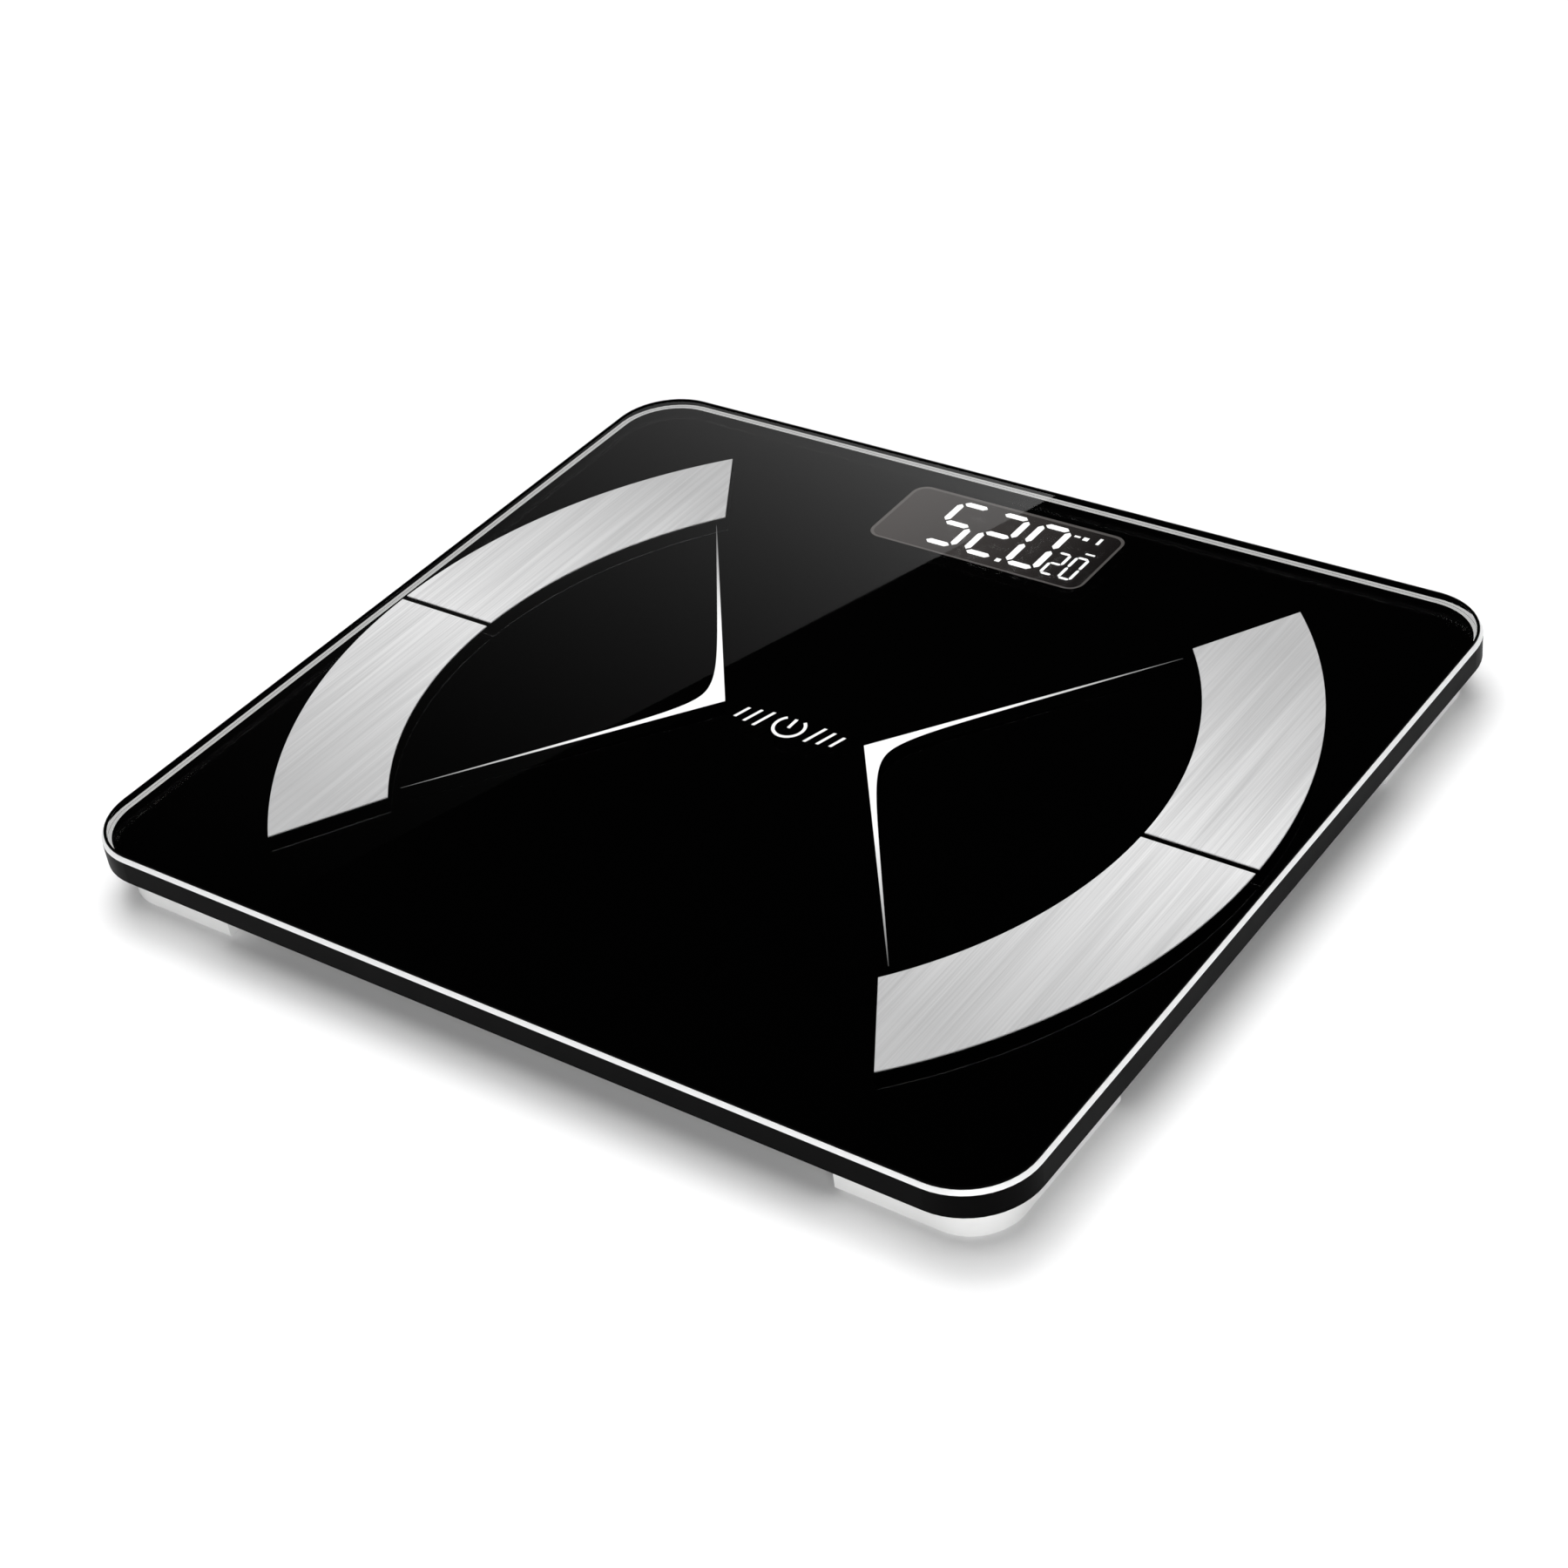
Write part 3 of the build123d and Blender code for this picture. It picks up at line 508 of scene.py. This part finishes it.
finishes = {slot: plasticMaterial(slot, finish) for slot, finish in plasticFinishes.items()}
finishes.update({slot: metalMaterial(slot, finish) for slot, finish in metalFinishes.items()})
finishes["brushed_electrode"] = electrodeMaterial(electrodeFinish)
finishes["tempered_glass"] = glassMaterial(glassFinish)
finishes["black_print"] = filmMaterial()
tubShader = finishes["black_abs"].node_tree.nodes["Principled BSDF"]
tubShader.inputs["Specular IOR Level"].default_value = tubSpecular
finishes["display_glass"] = displayMaterial(displayFinish)
finishes["silver_trim"] = trimMaterial(trimFinishPaintedHighlight)
finishes["border_gasket"] = gasketMaterial(gasketFinish)
slotOfNode = {entry["node"]: entry["material_slot"] for entry in frame["record"]["subparts"]}
for name, node in nodes.items():
    node.data.materials.clear()
    node.data.materials.append(finishes.get(name) or finishes[slotOfNode[name]])
print("materials done:", len(finishes))

readingSettings = {
    "digitWidth": 11.2, "digitHeight": 23.4, "stroke": 2.15, "gap": 0.62,
    "digitCentres": (-13.9, -0.1, 13.9), "digitText": "520", "centreY": 0.85,
    "smallWidth": 4.6, "smallHeight": 12.0, "smallStroke": 0.95,
    "smallCentres": (23.0, 28.9), "smallText": "20", "smallCentreY": -4.9, "smallGap": 0.15,
    # small blocks: (x, y, width, height), the decimal point first
    "blocks": ((7.0, -10.3, 1.6, 1.6), (21.4, 10.0, 1.9, 0.8), (24.3, 9.8, 1.7, 1.6),
               (28.6, 10.2, 1.0, 3.2), (29.7, 3.2, 3.0, 0.7)),
    "pointWidth": 0.02,      # half-width at a segment's tips
    "thickness": 0.03,
    "lift": 0.01,            # above the display panel
}
figureSegments = {"0": "abcdef", "2": "abged", "5": "afgcd"}


def segmentGrid(start, end, width, shorten):
    # a bar with pointed ends: its half-width is almost nought at each end
    # and full one half-width further in
    start, end = np.array(start, float), np.array(end, float)
    run = end - start
    length = np.linalg.norm(run)
    run = run / length
    side = np.array([-run[1], run[0]])
    half = width / 2
    along = np.array([shorten, shorten + half, length - shorten - half, length - shorten])
    tip = readingSettings["pointWidth"]
    across = np.array([tip, half, half, tip])
    points = start + along[:, None, None] * run + (across[:, None] * np.array([-1, 1]))[..., None] * side
    return points


def digitGrids(text, centres, centreY, width, height, stroke, gap):
    x, y = (width - stroke) / 2, (height - stroke) / 2
    ends = {"a": ((-x, y), (x, y)), "b": ((x, y), (x, 0)), "c": ((x, 0), (x, -y)), "d": ((-x, -y), (x, -y)),
            "e": ((-x, 0), (-x, -y)), "f": ((-x, y), (-x, 0)), "g": ((-x, 0), (x, 0))}
    grids = []
    for figure, centre in zip(text, centres):
        for letter in figureSegments[figure]:
            first, last = ends[letter]
            grid = segmentGrid(first, last, stroke, gap)
            grids.append(grid + np.array([centre, centreY]))
    return grids


def flatPiece(name, grids, centre, height, thickness, material):
    # flat grids in millimetres become a thin slab at a height, and Solidify gives the thickness upwards
    lifted = []
    for grid in grids:
        spot = np.concatenate([grid, np.zeros((*grid.shape[:2], 1))], -1) * mm
        lifted.append(spot + np.array([centre[0], centre[1], height]))
    piece = gridMesh(name, lifted)
    solid = piece.modifiers.new("thickness", "SOLIDIFY")
    solid.thickness = thickness * mm
    solid.offset = 1
    piece.data.materials.append(material)
    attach(piece, "platform")
    return piece


def rectangleGrid(x, y, width, height):
    return np.array([[[x - width / 2, y - height / 2], [x + width / 2, y - height / 2]],
                     [[x - width / 2, y + height / 2], [x + width / 2, y + height / 2]]])


def frameGrid(centre, size, radius, width):
    # a rounded rectangle's outline, from its outer line inwards by the width: four quarter circles
    # whose centres are the corners of the rectangle moved in by the radius
    steps = 9
    turn = np.radians(np.arange(0, 360, 90)[:, None] + np.linspace(0, 90, steps)).ravel()
    corners = np.array([[1, 1], [-1, 1], [-1, -1], [1, -1]])
    corner = np.repeat(corners, steps, 0) * (np.array(size) / 2 - radius)
    direction = np.stack([np.cos(turn), np.sin(turn)], -1)
    loop = [np.array(centre) + corner + direction * reach for reach in (radius - width, radius)]
    closed = [np.concatenate([line, line[:1]]) for line in loop]
    return np.stack(closed, 1)


rimSettings = {
    "size": (72.6, 30.6), "radius": 4.8, "width": 1.3, "thickness": 0.02,
    "lift": 0.01,            # above the display panel
    "glow": ((0.140, 0.130, 0.125), (0.100, 0.094, 0.090)),   # at the left end and at the right end
}


def makeDisplayRim(settings):
    grid = frameGrid((0, 0), settings["size"], settings["radius"], settings["width"])
    centre = (lcdLow + lcdHigh) / 2
    material, tree, shader = startMaterial("displayRim", (0.05, 0.05, 0.05), 0.5)
    across = mapRange(tree, objectAxis(tree, "X"), lcdLow.x, lcdHigh.x, 0.0, 1.0)
    tree.links.new(mixColour(tree, across, *settings["glow"]), shader.inputs["Emission Color"])
    shader.inputs["Emission Strength"].default_value = 1.0
    flatPiece("display_rim", [grid], centre, lcdHigh.z + settings["lift"] * mm, settings["thickness"],
              material)


def makeReading(settings):
    s = settings
    grids = digitGrids(s["digitText"], s["digitCentres"], s["centreY"], s["digitWidth"], s["digitHeight"],
                       s["stroke"], s["gap"])
    grids += digitGrids(s["smallText"], s["smallCentres"], s["smallCentreY"], s["smallWidth"],
                        s["smallHeight"], s["smallStroke"], s["smallGap"])
    grids += [rectangleGrid(*block) for block in s["blocks"]]
    centre = (lcdLow + lcdHigh) / 2
    flatPiece("display_reading", grids, centre, lcdHigh.z + s["lift"] * mm, s["thickness"],
              litSegmentMaterial())


makeReading(readingSettings)
makeDisplayRim(rimSettings)
print("display reading done")

chevronSettings = {
    "apex": 22.8, "armAngle": 52.3, "armRise": 71.6, "thickAtApex": 7.5,
    "taper": 2.0, "hairline": 0.25, "thickness": 0.03,
    "fade": (0.030, 0.074),  # the white fades to black between these distances from the middle, metres
}


def chevronGrid(settings, side, upper):
    # x is the straight outer edge plus a share of the thickness, and the thickness falls off as an
    # exponential whose rate makes the inner edge start square to the X axis, plus a straight taper
    s = settings
    slope = 1 / math.tan(math.radians(s["armAngle"]))
    rise = np.concatenate([np.linspace(0, 20, 40), np.linspace(22, s["armRise"], 40)])
    swell = s["thickAtApex"] - s["taper"] - s["hairline"]
    decay = swell / (slope - s["taper"] / s["armRise"])
    thick = s["hairline"] + s["taper"] * (1 - rise / s["armRise"]) + swell * np.exp(-rise / decay)
    share = np.linspace(0, 1, 5)
    x = s["apex"] + slope * rise[:, None] + thick[:, None] * share
    y = np.repeat(rise[:, None], len(share), 1)
    grid = np.stack([side * x, upper * y], -1)
    return grid if side * upper > 0 else grid[:, ::-1]


def makeChevrons(settings):
    grids = [chevronGrid(settings, side, upper) for side in (-1, 1) for upper in (-1, 1)]
    flatPiece("printed_chevrons", grids, (0, 0), glassTop, settings["thickness"],
              whitePrintMaterial("chevronEnamel", *settings["fade"]))


markSettings = {
    "ringRadius": 4.4, "ringFrom": -230, "ringTo": 50,    # the ring is open at the top, in degrees
    "stroke": 0.95, "stem": (1.6, 4.2),                   # the stem's middle height and its length
    "bars": (8.4, 12.0, 15.6), "barHeight": 7.4, "barLoss": 0.16, "lean": 2.2,
    "thickness": 0.03, "place": (0, -0.002),
    "fade": (0.5, 1.0),      # further out than the plate, so it stays white
}


def ringGrid(radius, stroke, start, end):
    # points at a radius from inner to outer, over an angle from start to end, in degrees
    angle = np.radians(np.linspace(start, end, 49))[:, None]
    reach = np.array([radius - stroke / 2, radius + stroke / 2])
    return np.stack([reach * np.cos(angle), reach * np.sin(angle)], -1)


def makeCentreMark(settings):
    s = settings
    grids = [ringGrid(s["ringRadius"], s["stroke"], s["ringFrom"], s["ringTo"])]
    grids.append(rectangleGrid(0, s["stem"][0], s["stroke"], s["stem"][1]))
    for side in (-1, 1):
        for index, x in enumerate(s["bars"]):
            tall = s["barHeight"] * (1 - s["barLoss"] * index)
            bar = rectangleGrid(side * x, 0, s["stroke"], tall)
            bar[..., 0] += bar[..., 1] / s["barHeight"] * s["lean"]
            grids.append(bar)
    flatPiece("centre_mark", grids, s["place"], glassTop, s["thickness"],
              whitePrintMaterial("markEnamel", *s["fade"]))


makeChevrons(chevronSettings)
makeCentreMark(markSettings)
print("printed pattern done")
